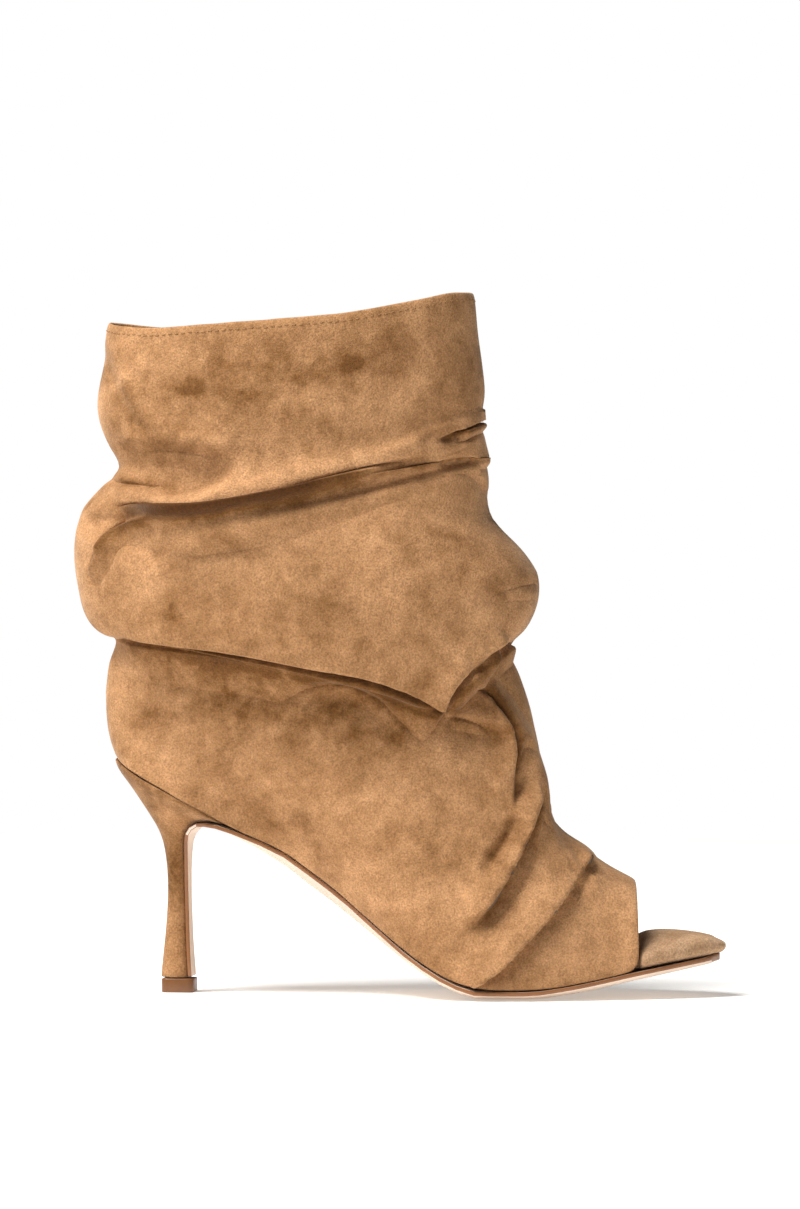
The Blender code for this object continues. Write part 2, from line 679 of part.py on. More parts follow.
def make_top_piece(material):
    """The moulded top piece, flat on the floor."""
    height = TOP_PIECE_HEIGHT - GAP
    shape = bmesh.new()
    bmesh.ops.create_cube(shape, size=1.0)
    bmesh.ops.scale(shape, vec=(TOP_PIECE_LENGTH, TOP_PIECE_WIDTH, height), verts=shape.verts)
    bmesh.ops.translate(shape, vec=(0.0, 0.0, 0.5 * height), verts=shape.verts)
    upright = [e for e in shape.edges if abs(e.verts[0].co.z - e.verts[1].co.z) > 0.5 * height]
    bmesh.ops.bevel(shape, geom=upright, offset=TOP_PIECE_CORNER, segments=4, affect="EDGES",
                    profile=0.5, material=-1)
    return new_piece("top_piece", shape, material)


def make_shank_plate(material):
    """A plain oval plate let on to the shank's underside."""
    low = Vector((foot_x(PLATE_PLACE), 0.0, sole_floor(PLATE_PLACE)))
    place_ahead = PLATE_PLACE + 0.5 * PLATE_LENGTH / FOOT_LENGTH
    ahead = Vector((foot_x(place_ahead), 0.0, sole_floor(place_ahead)))
    slope = math.atan2(ahead.z - low.z, ahead.x - low.x)
    shape = bmesh.new()
    bmesh.ops.create_cone(shape, cap_ends=True, segments=28, radius1=0.5, radius2=0.5, depth=1.0)
    bmesh.ops.scale(shape, vec=(PLATE_LENGTH, PLATE_WIDTH, PLATE_THICKNESS), verts=shape.verts)
    bmesh.ops.translate(shape, vec=(0.0, 0.0, -0.5 * PLATE_THICKNESS - GAP), verts=shape.verts)
    plate = new_piece("shank_plate", shape, material)
    plate.location = (low.x, centre_y(PLATE_PLACE), low.z)
    plate.rotation_euler = (0.0, -slope, 0.0)
    return plate


for old in list(bpy.data.objects):
    bpy.data.objects.remove(old, do_unlink=True)

suede = new_material("suede", SUEDE, 0.9)
edge_brown = new_material("edge_brown", EDGE_BROWN, 0.45)
make_upper(suede)
make_footbed(suede)
make_outsole(edge_brown)
make_heel(suede)
make_top_piece(edge_brown)
make_shank_plate(new_material("steel", STEEL, 0.4, 1.0))
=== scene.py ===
"""Peep toe ankle boot of tan suede, dressed over its CAD frame.

A right boot with its outer side to the camera. +X is the toe, +Y the inner side, +Z up.
"""

import math
from collections import namedtuple

import bmesh
import bpy
import numpy as np
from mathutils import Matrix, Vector, noise
from mathutils.bvhtree import BVHTree
from mathutils.kdtree import KDTree


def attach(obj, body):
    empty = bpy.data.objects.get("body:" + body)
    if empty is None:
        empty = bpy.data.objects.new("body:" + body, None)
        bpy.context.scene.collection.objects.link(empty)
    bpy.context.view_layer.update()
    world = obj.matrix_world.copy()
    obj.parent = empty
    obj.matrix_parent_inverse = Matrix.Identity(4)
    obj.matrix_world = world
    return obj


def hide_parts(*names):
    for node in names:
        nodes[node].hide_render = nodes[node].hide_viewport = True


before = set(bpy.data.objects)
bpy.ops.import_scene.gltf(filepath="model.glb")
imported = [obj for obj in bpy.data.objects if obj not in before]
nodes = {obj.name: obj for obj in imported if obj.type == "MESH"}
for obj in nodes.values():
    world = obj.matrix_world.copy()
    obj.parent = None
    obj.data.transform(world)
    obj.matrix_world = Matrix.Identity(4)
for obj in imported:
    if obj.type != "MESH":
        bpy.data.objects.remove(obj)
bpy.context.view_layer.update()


# Camera
# The boot stands with its outer side to a long lens, which looks a little from the front and
# from a hand's breadth above the ankle.

MM = 0.001
TARGET = Vector((0.0838, 0.0, 0.146))
VIEW_TURN = math.radians(7.5)
VIEW_AWAY = 2.4
VIEW_HEIGHT = 0.170

camera = bpy.data.objects.new("camera", bpy.data.cameras.new("camera"))
camera.location = (
    TARGET.x + VIEW_AWAY * math.sin(VIEW_TURN),
    -VIEW_AWAY * math.cos(VIEW_TURN),
    VIEW_HEIGHT,
)
camera.rotation_euler = (TARGET - camera.location).to_track_quat("-Z", "Y").to_euler()
camera.data.lens = 190.6
camera.data.sensor_width = 36.0
bpy.context.scene.collection.objects.link(camera)
bpy.context.scene.camera = camera
bpy.context.scene.view_settings.view_transform = "Standard"


# Upper
# One shaft and vamp of soft suede with a glued lining, lasted over the insole. The slack of the
# leg is pushed down into folds, and pleats run from the instep into the sole's edge.

def merged_copy(name):
    """A bmesh of a CAD node, with its loose triangles joined to quads."""
    shape = bmesh.new()
    shape.from_mesh(nodes[name].data)
    bmesh.ops.remove_doubles(shape, verts=shape.verts, dist=0.001 * MM)
    bmesh.ops.join_triangles(
        shape,
        faces=shape.faces,
        angle_face_threshold=math.radians(60),
        angle_shape_threshold=math.radians(80),
    )
    return shape


def rounded(shape, levels):
    """Subdivides a bmesh into a smooth one."""
    mesh = bpy.data.meshes.new("rounding")
    shape.to_mesh(mesh)
    shape.free()
    holder = bpy.data.objects.new("rounding", mesh)
    bpy.context.scene.collection.objects.link(holder)
    smoother = holder.modifiers.new("rounding", "SUBSURF")
    smoother.levels = smoother.render_levels = levels
    smooth = bmesh.new()
    smooth.from_mesh(holder.evaluated_get(bpy.context.evaluated_depsgraph_get()).to_mesh())
    bpy.data.objects.remove(holder)
    return smooth


def new_piece(name, shape, *materials):
    """Makes an object of a bmesh, which rides on the boot."""
    mesh = bpy.data.meshes.new(name)
    shape.to_mesh(mesh)
    shape.free()
    mesh.shade_smooth()
    for material in materials:
        mesh.materials.append(material)
    piece = bpy.data.objects.new(name, mesh)
    bpy.context.scene.collection.objects.link(piece)
    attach(piece, "root")
    return piece


UPPER_WALL = 1.8 * MM
# The middle of the space for the foot, from the toe opening back to the ankle and up the leg, in mm
FOOT_LINE = [
    (180, 4, 22), (145, 1, 26), (115, -1, 40), (85, 0, 62),
    (50, 0, 100), (38, 0, 140), (42, 0, 200), (44, 0, 270),
]


def from_foot(point):
    """The way from the nearest place on the foot's middle line to a point."""
    line = [Vector(p) * MM for p in FOOT_LINE]
    best = None
    for a, b in zip(line, line[1:]):
        share = min(max((point - a).dot(b - a) / (b - a).length_squared, 0.0), 1.0)
        way = point - a.lerp(b, share)
        if best is None or way.length < best.length:
            best = way
    return best


def split_walls(shape):
    """Deletes the lining's faces from a copy of the hollow upper and gives them back apart."""
    tree = BVHTree.FromBMesh(shape)
    patch_of = {}
    for face in shape.faces:
        centre = face.calc_center_median()
        hit, normal, _, _ = tree.ray_cast(centre - face.normal * 0.01 * MM, -face.normal, 2.0 * UPPER_WALL)
        if hit is None or normal.dot(face.normal) > -0.3:
            patch_of[face] = 0
    patches = 0
    lining = set()
    for seed in shape.faces:
        if seed in patch_of:
            continue
        patches += 1
        patch = [seed]
        patch_of[seed] = patches
        for face in patch:
            for edge in face.edges:
                for other in edge.link_faces:
                    if other not in patch_of:
                        patch_of[other] = patches
                        patch.append(other)
        if sum(from_foot(f.calc_center_median()).dot(f.normal) * f.calc_area() for f in patch) < 0.0:
            lining.update(patch)
    changed = True
    while changed:
        changed = False
        for face in shape.faces:
            if patch_of[face] == 0 and face not in lining:
                around = [f for e in face.edges for f in e.link_faces if f is not face]
                if sum(f in lining for f in around) >= 3:
                    lining.add(face)
                    changed = True
    inner = shape.copy()
    inner.faces.ensure_lookup_table()
    kept = {f.index for f in lining}
    bmesh.ops.delete(inner, geom=[f for f in inner.faces if f.index not in kept], context="FACES")
    bmesh.ops.delete(shape, geom=list(lining), context="FACES")
    return inner


def side_view(points):
    """Where points show from the outer side, in mm on the boot's middle plane."""
    across = np.array((math.cos(VIEW_TURN), math.sin(VIEW_TURN), 0.0))
    ahead = np.array((-math.sin(VIEW_TURN), math.cos(VIEW_TURN), 0.0))
    away = points - np.array(camera.location)
    depth = away @ ahead
    return np.stack((
        (TARGET.x + VIEW_AWAY * (away @ across) / depth) / MM,
        (VIEW_HEIGHT + VIEW_AWAY * away[:, 2] / depth) / MM,
    ), axis=1)


def ease(value):
    """A smooth step from 0 to 1 as value goes from 0 to 1."""
    value = np.clip(value, 0.0, 1.0)
    return value * value * (3.0 - 2.0 * value)


def flowing(path, step=1.5):
    """Reads a smooth line through given points, about every step mm."""
    points = [np.array(p, float) for p in path]
    points = [2 * points[0] - points[1]] + points + [2 * points[-1] - points[-2]]
    line = []
    for a, b, c, d in zip(points, points[1:], points[2:], points[3:]):
        count = max(int(np.linalg.norm(c - b) / step), 1)
        for i in range(count):
            t = i / count
            line.append(0.5 * (2 * b + (c - a) * t + (2 * a - 5 * b + 4 * c - d) * t**2
                               + (3 * b - a - 3 * c + d) * t**3))
    line.append(points[-2])
    return np.array(line)


# Creases and ridges, in mm as seen from the outer side: forward of the top piece's middle, and up
# from the floor. The proud cloth is on the left hand of each path. ridge and trough: how far the
# cloth stands out and sinks on the two sides, and how far each reaches. lip: how far the proud
# side hangs over the other. soft: width of the step between them. begin, end: length of the fade.
# The colour is painted darker in the trough, the more so the deeper it is, as painted shade.
Crease = namedtuple("Crease", "name path ridge ridge_reach trough trough_reach lip soft begin end")
OUTER_CREASES = [
    Crease("roll's overhang", [(-26.0, 178.5), (-8.0, 180.6), (5.1, 181.1), (16.3, 182.2), (39.9, 186.7),
                               (63.9, 192.0), (87.9, 197.2), (105.9, 199.8)],
           4.5, 9.0, 17.0, 10.0, 4.5, 2.2, 30.0, 110.0),
    Crease("roll's edge", [(63.9, 192.0), (87.9, 197.2), (105.9, 199.8), (119.0, 200.4)],
           0.8, 4.0, 3.0, 4.0, 1.4, 1.4, 24.0, 0.0),
    Crease("back of the crease", [(-31.0, 150.0), (-31.5, 158.0), (-29.0, 166.5), (-24.5, 172.5),
                                  (-15.0, 177.0),
                                  (-4.0, 179.0)],
           1.6, 6.0, 5.0, 5.0, 0.6, 3.0, 16.0, 10.0),
    Crease("tuck under the band", [(-24.0, 207.5), (-9.2, 205.0), (6.2, 203.6), (18.0, 203.6),
                                   (27.0, 205.5)],
           2.2, 7.0, 1.0, 7.0, 0.0, 7.0, 8.0, 12.0),
    Crease("roll's top", [(23.5, 201.0), (19.0, 195.0), (8.8, 190.8), (-7.3, 190.0), (-17.0, 191.0),
                          (-29.0, 191.5)],
           1.6, 5.0, 3.0, 6.0, 0.0, 4.5, 16.0, 12.0),
    Crease("back ridge of the band", [(-26.6, 246.5), (-23.8, 235.5), (-18.6, 223.5), (-11.0, 213.0),
                                      (1.0, 207.0), (18.0, 205.5)],
           1.0, 5.0, 1.2, 8.0, 0.0, 8.0, 8.0, 16.0),
    Crease("slit at the front", [(97.5, 206.8), (103.0, 209.3), (108.0, 211.6), (114.0, 214.6)],
           1.6, 4.0, 5.0, 3.2, 1.0, 1.2, 5.0, 0.0),
    Crease("ridge over the slit", [(70.0, 203.0), (85.0, 207.5), (98.0, 213.0), (112.0, 218.5)],
           0.0, 4.0, -1.4, 5.0, 0.0, 4.0, 18.0, 0.0),
    Crease("ridge under the slit", [(114.0, 210.5), (106.0, 206.0), (98.0, 202.5)],
           1.4, 3.0, 0.3, 3.0, 0.0, 2.5, 3.0, 6.0),
    Crease("front of the fold", [(111.0, 199.0), (115.5, 190.0), (118.5, 183.0), (119.5, 176.0)],
           0.9, 3.5, 0.9, 3.5, 0.5, 1.6, 4.0, 3.0),
    Crease("dent of the front bulge", [(108.0, 148.0), (119.0, 151.0), (128.0, 153.5), (137.0, 154.5)],
           0.6, 7.0, 1.6, 7.0, 0.0, 9.0, 12.0, 2.0),
    Crease("fold's edge", [(-27.0, 133.4), (-14.8, 131.6), (8.1, 128.6), (27.9, 125.6), (51.9, 120.9),
                           (69.9, 117.6), (83.8, 113.2), (93.9, 108.9), (101.3, 105.0)],
           2.2, 10.0, 4.4, 11.0, 1.4, 2.4, 16.0, 4.0),
    Crease("fold's front edge", [(101.3, 105.0), (104.0, 112.4), (111.0, 120.2), (118.0, 126.0),
                                 (126.0, 132.2)],
           1.8, 7.0, 4.0, 6.0, 0.8, 2.8, 3.0, 3.0),
    Crease("pinch, lower ridge", [(100.5, 104.6), (109.0, 103.2), (117.6, 100.0), (125.5, 94.6)],
           2.0, 4.5, 2.0, 6.0, 0.2, 3.2, 4.0, 4.0),
    Crease("pinch, front edge", [(127.0, 68.0), (127.9, 80.2), (128.0, 92.0), (125.8, 99.0), (118.7, 110.2),
                                 (111.2, 118.0)],
           2.6, 7.0, 4.2, 5.0, 1.2, 2.2, 10.0, 8.0),
    Crease("trough below the pinch", [(112.0, 42.0), (117.0, 52.0), (122.5, 60.5), (126.5, 69.0)],
           0.6, 8.0, 3.4, 6.0, 0.0, 5.0, 16.0, 6.0),
    Crease("vamp pleat", [(108.0, 22.0), (115.7, 29.0), (122.1, 37.8), (127.7, 47.6), (133.7, 60.5),
                          (137.4, 71.6),
                          (138.4, 82.0)],
           3.2, 8.0, 3.6, 5.0, 1.4, 1.6, 16.0, 14.0),
    Crease("toe pleat", [(111.0, 0.5), (117.2, 4.8), (123.6, 9.3), (131.4, 17.6), (140.1, 27.7),
                         (147.9, 37.5),
                         (152.4, 43.5), (155.4, 49.1), (157.0, 54.0)],
           3.0, 9.0, 2.2, 3.4, 1.6, 0.9, 2.0, 6.0),
]
# The same folds where they come round to the inner side, in mm of x and z
INNER_CREASES = [
    Crease("inner roll's overhang", [(-30.0, 177.0), (-8.0, 179.5), (16.0, 181.5), (40.0, 186.0),
                                     (64.0, 191.0),
                                     (88.0, 196.0), (108.0, 199.5)],
           2.0, 8.0, 7.0, 8.0, 2.0, 2.4, 16.0, 40.0),
    Crease("inner tuck", [(-20.0, 206.0), (6.0, 204.0), (30.0, 206.0), (60.0, 209.0), (92.0, 207.0)],
           1.4, 6.0, 2.2, 7.0, 0.0, 6.0, 14.0, 16.0),
    Crease("inner fold's edge", [(-28.0, 133.4), (8.0, 129.0), (28.0, 126.0), (52.0, 121.5), (70.0, 118.0),
                                 (84.0, 114.0), (97.0, 108.0)],
           1.8, 9.0, 4.0, 10.0, 1.2, 2.4, 16.0, 8.0),
    Crease("inner slack", [(20.0, 152.0), (48.0, 160.0), (80.0, 158.0), (112.0, 166.0)],
           1.2, 10.0, 1.6, 9.0, 0.0, 10.0, 20.0, 20.0),
    Crease("inner vamp pleat", [(106.0, 24.0), (116.0, 33.0), (126.0, 48.0), (134.0, 64.0), (138.0, 80.0)],
           2.2, 7.0, 2.6, 5.0, 0.8, 2.0, 14.0, 10.0),
    Crease("inner toe pleat", [(114.0, 5.0), (126.0, 14.0), (140.0, 29.0), (150.0, 43.0), (157.0, 54.0)],
           2.0, 8.0, 2.0, 4.5, 1.2, 1.6, 5.0, 3.0),
]


def crease_moves(spots, creases):
    """How far the creases push each spot outwards and move it across, in mm, and how much painted shade
    darkens it.
    """
    push = np.zeros(len(spots))
    laid_and_shaded = np.zeros(len(spots))
    across = np.zeros((len(spots), 2))
    for crease in creases:
        line = flowing(crease.path)
        reach = 2.5 * max(crease.ridge_reach, crease.trough_reach)
        low, high = line.min(0) - reach, line.max(0) + reach
        near = np.flatnonzero(((spots > low) & (spots < high)).all(1))
        here = spots[near]
        best = np.full(len(here), np.inf)
        signed = np.zeros(len(here))
        place = np.zeros(len(here))
        normal = np.zeros((len(here), 2))
        lengths = np.concatenate(([0.0], np.cumsum(np.linalg.norm(np.diff(line, axis=0), axis=1))))
        for i, (a, b) in enumerate(zip(line, line[1:])):
            run = b - a
            span = np.linalg.norm(run)
            share = np.clip((here - a) @ run / span**2, 0.0, 1.0)
            off = here - a - share[:, None] * run
            distance = np.linalg.norm(off, axis=1)
            closer = distance < best
            left = np.array((-run[1], run[0])) / span
            best = np.where(closer, distance, best)
            signed = np.where(closer, distance * np.where(off @ left >= 0.0, 1.0, -1.0), signed)
            place = np.where(closer, lengths[i] + share * span, place)
            normal[closer] = left
        strength = np.ones(len(here))
        if crease.begin:
            strength *= ease(place / crease.begin)
        if crease.end:
            strength *= ease((lengths[-1] - place) / crease.end)
        trough = crease.trough * np.exp(-(np.minimum(signed, 0.0) / crease.trough_reach) ** 2)
        signed -= crease.lip  # so the hem of the proud side comes to lie on the path
        proud = ease(signed / crease.soft + 0.5)
        ridge = crease.ridge * np.exp(-(signed / crease.ridge_reach) ** 2)
        push[near] += strength * (proud * ridge - (1.0 - proud) * trough)
        hang = crease.lip * np.exp(-(signed / (1.5 * crease.lip + 1.0)) ** 2) * proud
        across[near] -= (strength * hang)[:, None] * normal
        # Painted shade: the colour is darkened across the trough, the more the deeper it is.
        painted_shade = np.exp(-(np.minimum(signed, 0.0) / (0.7 * crease.trough_reach)) ** 2)
        laid_and_shaded[near] += strength * max(crease.trough, 0.0) * 0.3 * (1.0 - proud) * painted_shade
    return push, across, laid_and_shaded


def neighbours(shape):
    """Two rows of vertex numbers: each end of every edge, and its other end."""
    edges = np.array([[v.index for v in e.verts] for e in shape.edges])
    return np.concatenate((edges[:, 0], edges[:, 1])), np.concatenate((edges[:, 1], edges[:, 0]))


def gathered(ends, others, values, share=1.0):
    """For each vertex the sum of its neighbours' values, each times its edge's share."""
    return np.stack([np.bincount(ends, share * values[others, k], len(values)) for k in range(3)], axis=1)


EVENING_ROUNDS = 150
LEG_START = 90.0  # mm from the floor, from where the creases are pressed in level
LEG_BLEND = 40.0
LEG_LEVEL = 0.8


def evened_normals(shape, points):
    """The walls' directions without their small folds, from normals evened out over the neighbours."""
    normals = np.array([v.normal for v in shape.verts])
    normals[:, 2] *= 1.0 - LEG_LEVEL * ease((points[:, 2] / MM - LEG_START) / LEG_BLEND)
    ends, others = neighbours(shape)
    share = 1.0 / np.maximum(np.linalg.norm(points[ends] - points[others], axis=1), 0.1 * MM)
    for _ in range(EVENING_ROUNDS):
        normals = gathered(ends, others, normals, share)
        normals /= np.linalg.norm(normals, axis=1)[:, None]
    return normals


EDGE_HOLD = 5.0  # mm from a cut edge within which the creases die away
MIDDLE_EDGE = 10.0  # mm of y at which the outer side's creases end
MIDDLE_BLEND = 12.0
SLACK_BROAD = 0.35  # mm
SLACK_FINE = 0.15  # mm
SLACK_BROAD_SCALE = 38.0
SLACK_FINE_SCALE = 95.0


def outer_share(points):
    """1 on the outer side, 0 on the inner side, and between them along the boot's middle."""
    return ease((MIDDLE_EDGE - points[:, 1] / MM) / MIDDLE_BLEND)


def work_cloth(shape, outwards):
    """Presses the creases into a wall of the upper; outwards is -1 on the lining."""
    shape.normal_update()
    shape.verts.index_update()
    points = np.array([v.co for v in shape.verts])
    normals = evened_normals(shape, points) * outwards
    edge = KDTree(len(shape.verts))
    for vert in shape.verts:
        if vert.is_boundary:
            edge.insert(vert.co, vert.index)
    edge.balance()
    free = ease(np.array([edge.find(v.co)[2] for v in shape.verts]) / (EDGE_HOLD * MM))
    outer = outer_share(points)
    moves = np.zeros(points.shape)
    nap_and_shading = np.zeros(len(points))
    for creases, spots, turn, side in (
        (OUTER_CREASES, side_view(points), VIEW_TURN, outer),
        (INNER_CREASES, points[:, [0, 2]] / MM, 0.0, 1.0 - outer),
    ):
        push, across, laid_and_shaded = crease_moves(spots, creases)
        moves += normals * (push * side * free)[:, None]
        moves[:, 0] += across[:, 0] * side * free * math.cos(turn)
        moves[:, 1] += across[:, 0] * side * free * math.sin(turn)
        moves[:, 2] += across[:, 1] * side * free
        nap_and_shading += laid_and_shaded * side
    # The creases' painted shade is kept per vertex, and the suede's colour is darkened by it.
    layer = shape.verts.layers.float.new("nap_and_shading")
    for vert, move, nap_and_shading_value in zip(shape.verts, moves, nap_and_shading):
        vert[layer] = nap_and_shading_value
        slack = 0.0
        if not vert.is_boundary:
            slack += SLACK_BROAD * noise.noise(vert.co * SLACK_BROAD_SCALE)
            slack += SLACK_FINE * noise.noise(vert.co * SLACK_FINE_SCALE)
        vert.co += Vector(move) * MM + vert.normal * (slack * outwards * MM)


RELAX_ROUNDS = 500
# The lowest fold's hem and the depth of the drawn part below it, in mm as seen from the outer side
HEM_PLACES = [-27.0, 28.0, 70.0, 101.0]
HEM_HEIGHTS = [133.0, 125.6, 117.6, 105.0]
DRAWN_DEPTH = 50.0
DRAWN_BACK = 25.0
DRAWN_FRONT = 112.0


def relax_under_fold(shape):
    """Draws the vamp tight below the lowest fold, where the frame's rings leave it lumpy."""
    points = np.array([v.co for v in shape.verts])
    shape.verts.index_update()
    spots = side_view(points)
    hem = np.interp(spots[:, 0], HEM_PLACES, HEM_HEIGHTS)
    below = hem - spots[:, 1]
    loose = ease((below - 1.0) / 5.0) * ease((DRAWN_DEPTH - below) / 20.0)
    loose *= ease(spots[:, 0] / DRAWN_BACK) * ease((DRAWN_FRONT - spots[:, 0]) / 10.0)
    loose *= ease((6.0 - points[:, 1] / MM) / 10.0)
    ends, others = neighbours(shape)
    near = np.bincount(ends, minlength=len(points))
    for _ in range(RELAX_ROUNDS):
        points += loose[:, None] * (gathered(ends, others, points) / near[:, None] - points)
    for vert, point in zip(shape.verts, points):
        vert.co = point


suede_upper = merged_copy("upper")
lining_shape = split_walls(suede_upper)
suede_upper = rounded(suede_upper, 2)
lining_shape = rounded(lining_shape, 2)
near_side = [e for e in suede_upper.edges if max(v.co.y for v in e.verts) < 4.0 * MM]
bmesh.ops.subdivide_edges(suede_upper, edges=near_side, cuts=1, use_grid_fill=True)
relax_under_fold(suede_upper)
relax_under_fold(lining_shape)
work_cloth(suede_upper, 1.0)
work_cloth(lining_shape, -1.0)


def new_group(name, inputs, outputs):
    """A shader node group with named inputs (name, kind, value) and outputs (name, kind)."""
    group = bpy.data.node_groups.new(name, "ShaderNodeTree")
    for title, kind, value in inputs:
        socket = group.interface.new_socket(title, in_out="INPUT", socket_type=kind)
        if value is not None:
            socket.default_value = value
    for title, kind in outputs:
        group.interface.new_socket(title, in_out="OUTPUT", socket_type=kind)
    return group


def add(tree, kind, **settings):
    """Adds a node; a setting named after a socket, with _ for spaces, links it or gives its value."""
    node = tree.nodes.new(kind)
    for title, value in settings.items():
        if hasattr(node, title) and not isinstance(value, bpy.types.NodeSocket):
            setattr(node, title, value)
            continue
        socket = node.inputs[int(title[1:])] if title[0] == "_" else node.inputs[title.replace("_", " ")]
        if isinstance(value, bpy.types.NodeSocket):
            tree.links.new(value, socket)
        else:
            socket.default_value = value
    return node


def blend_colour(tree, share, low, high, kind="MIX"):
    """Mixes two colours; each of the three may be a socket or a value."""
    node = tree.nodes.new("ShaderNodeMix")
    node.data_type = "RGBA"
    node.blend_type = kind
    for socket, value in zip((node.inputs[0], node.inputs[6], node.inputs[7]), (share, low, high)):
        if isinstance(value, bpy.types.NodeSocket):
            tree.links.new(value, socket)
        else:
            socket.default_value = value
    return node.outputs[2]


def sums(tree, kind, a, b, c=None):
    """A Math node's value."""
    settings = {"operation": kind, "_0": a, "_1": b}
    if c is not None:
        settings["_2"] = c
    return add(tree, "ShaderNodeMath", **settings).outputs[0]


def ranged(tree, value, low, high, to_low, to_high):
    """A value carried over from one range to another."""
    node = add(tree, "ShaderNodeMapRange", _0=value, _1=low, _2=high, _3=to_low, _4=to_high)
    return node.outputs[0]


# Suede: a short brushed nap, which lies lighter or darker in clouds, over a fine pebbled grain.
# The colour is painted darker in folds and lighter or darker in listed patches, as painted shade and
# painted light, and nearly black in the deepest folds.
suede_nap_and_shading = new_group("suede nap and shading", [
    ("Place", "NodeSocketVector", None),
    ("Nap and shading", "NodeSocketFloat", 0.0),
    ("Nap lifted", "NodeSocketColor", (0.5, 0.28, 0.12, 1.0)),
    ("Nap laid and shade", "NodeSocketColor", (0.3, 0.15, 0.05, 1.0)),
    ("Cloud scale", "NodeSocketFloat", 30.0),
    ("Grain scale", "NodeSocketFloat", 1500.0),
], [
    ("Colour", "NodeSocketColor"), ("Height", "NodeSocketFloat"), ("Roughness", "NodeSocketFloat"),
])
tree = suede_nap_and_shading
given = tree.nodes.new("NodeGroupInput").outputs
cloud = add(tree, "ShaderNodeTexNoise", Vector=given["Place"], Scale=given["Cloud scale"], Detail=4.0,
            Roughness=0.6, Distortion=0.5).outputs["Fac"]
patch = add(tree, "ShaderNodeTexNoise", Vector=given["Place"], Scale=150.0, Detail=3.0,
            Roughness=0.6, Distortion=0.3).outputs["Fac"]
grain = add(tree, "ShaderNodeTexNoise", Vector=given["Place"], Scale=given["Grain scale"], Detail=1.0,
            Roughness=0.6).outputs["Fac"]
pebble = add(tree, "ShaderNodeTexNoise", Vector=given["Place"], Scale=620.0, Detail=2.0,
             Roughness=0.5).outputs["Fac"]
tone_and_shading = sums(tree, "MULTIPLY_ADD", cloud, 3.2, -1.6)
tone_and_shading = sums(tree, "MULTIPLY_ADD", patch, 1.9, tone_and_shading)
# The vertex attribute brings in the painted shade of the creases and the painted shade and light of the
# listed patches.
tone_and_shading = sums(tree, "ADD", tone_and_shading, given["Nap and shading"])
laid_and_shaded = ranged(tree, tone_and_shading, 0.2, 2.1, 0.0, 1.0)
nap_and_shade_colour = blend_colour(tree, laid_and_shaded, given["Nap lifted"], given["Nap laid and shade"])
# Painted shade: the deepest folds are painted nearly black.
painted_shade = ranged(tree, tone_and_shading, 1.9, 3.4, 0.0, 1.0)
nap_and_shade_colour = blend_colour(tree, painted_shade, nap_and_shade_colour, (0.070, 0.025, 0.005, 1.0))
fleck = ranged(tree, grain, 0.25, 0.75, 0.68, 1.30)
fleck_pebble = ranged(tree, pebble, 0.25, 0.75, 0.93, 1.07)
flecks = sums(tree, "MULTIPLY", fleck, fleck_pebble)
flecks_colour = add(tree, "ShaderNodeCombineColor", _0=flecks, _1=flecks, _2=flecks).outputs[0]
nap_and_shade_colour = blend_colour(tree, 1.0, nap_and_shade_colour, flecks_colour, "MULTIPLY")
raised = sums(tree, "MULTIPLY_ADD", pebble, 0.8, grain)
rough = ranged(tree, laid_and_shaded, 0.0, 1.0, 0.96, 0.84)
add(tree, "NodeGroupOutput", Colour=nap_and_shade_colour, Height=raised, Roughness=rough)


def new_material(name, **constants):
    """A material whose Principled shader has these constant values."""
    material = bpy.data.materials.new(name)
    material.use_nodes = True
    shader = material.node_tree.nodes["Principled BSDF"]
    for title, value in constants.items():
        shader.inputs[title.replace("_", " ")].default_value = value
    place = material.node_tree.nodes.new("ShaderNodeTexCoord").outputs["Object"]
    return material, material.node_tree, shader, place


def dress(tree, shader, group_node, bump_height, strength=0.6):
    """Links a finish group's colour, roughness and height to the shader."""
    tree.links.new(group_node.outputs["Colour"], shader.inputs["Base Color"])
    tree.links.new(group_node.outputs["Roughness"], shader.inputs["Roughness"])
    height = group_node.outputs["Height"]
    bump = add(tree, "ShaderNodeBump", Strength=strength, Distance=bump_height, Height=height)
    tree.links.new(bump.outputs["Normal"], shader.inputs["Normal"])


def suede_material(name, lifted, laid_and_shade_colour, cloud_scale):
    material, tree, shader, place = new_material(
        name, Sheen_Weight=0.18, Sheen_Roughness=0.45, Sheen_Tint=(1.0, 0.86, 0.68, 1.0),
        Specular_IOR_Level=0.12)
    nap_and_shading_fac = add(tree, "ShaderNodeAttribute", attribute_name="nap_and_shading").outputs["Fac"]
    node = tree.nodes.new("ShaderNodeGroup")
    node.node_tree = suede_nap_and_shading
    tree.links.new(place, node.inputs["Place"])
    tree.links.new(nap_and_shading_fac, node.inputs["Nap and shading"])
    node.inputs["Nap lifted"].default_value = lifted
    node.inputs["Nap laid and shade"].default_value = laid_and_shade_colour
    node.inputs["Cloud scale"].default_value = cloud_scale
    dress(tree, shader, node, 0.35 * MM)
    return material


SUEDE_LIFTED = (0.49, 0.262, 0.122, 1.0)
# The laid colour is both the nap's darker tone and the painted shade in creases and under folds.
SUEDE_LAID_AND_SHADE = (0.165, 0.070, 0.019, 1.0)
suede = suede_material("tan suede", SUEDE_LIFTED, SUEDE_LAID_AND_SHADE, 32.0)
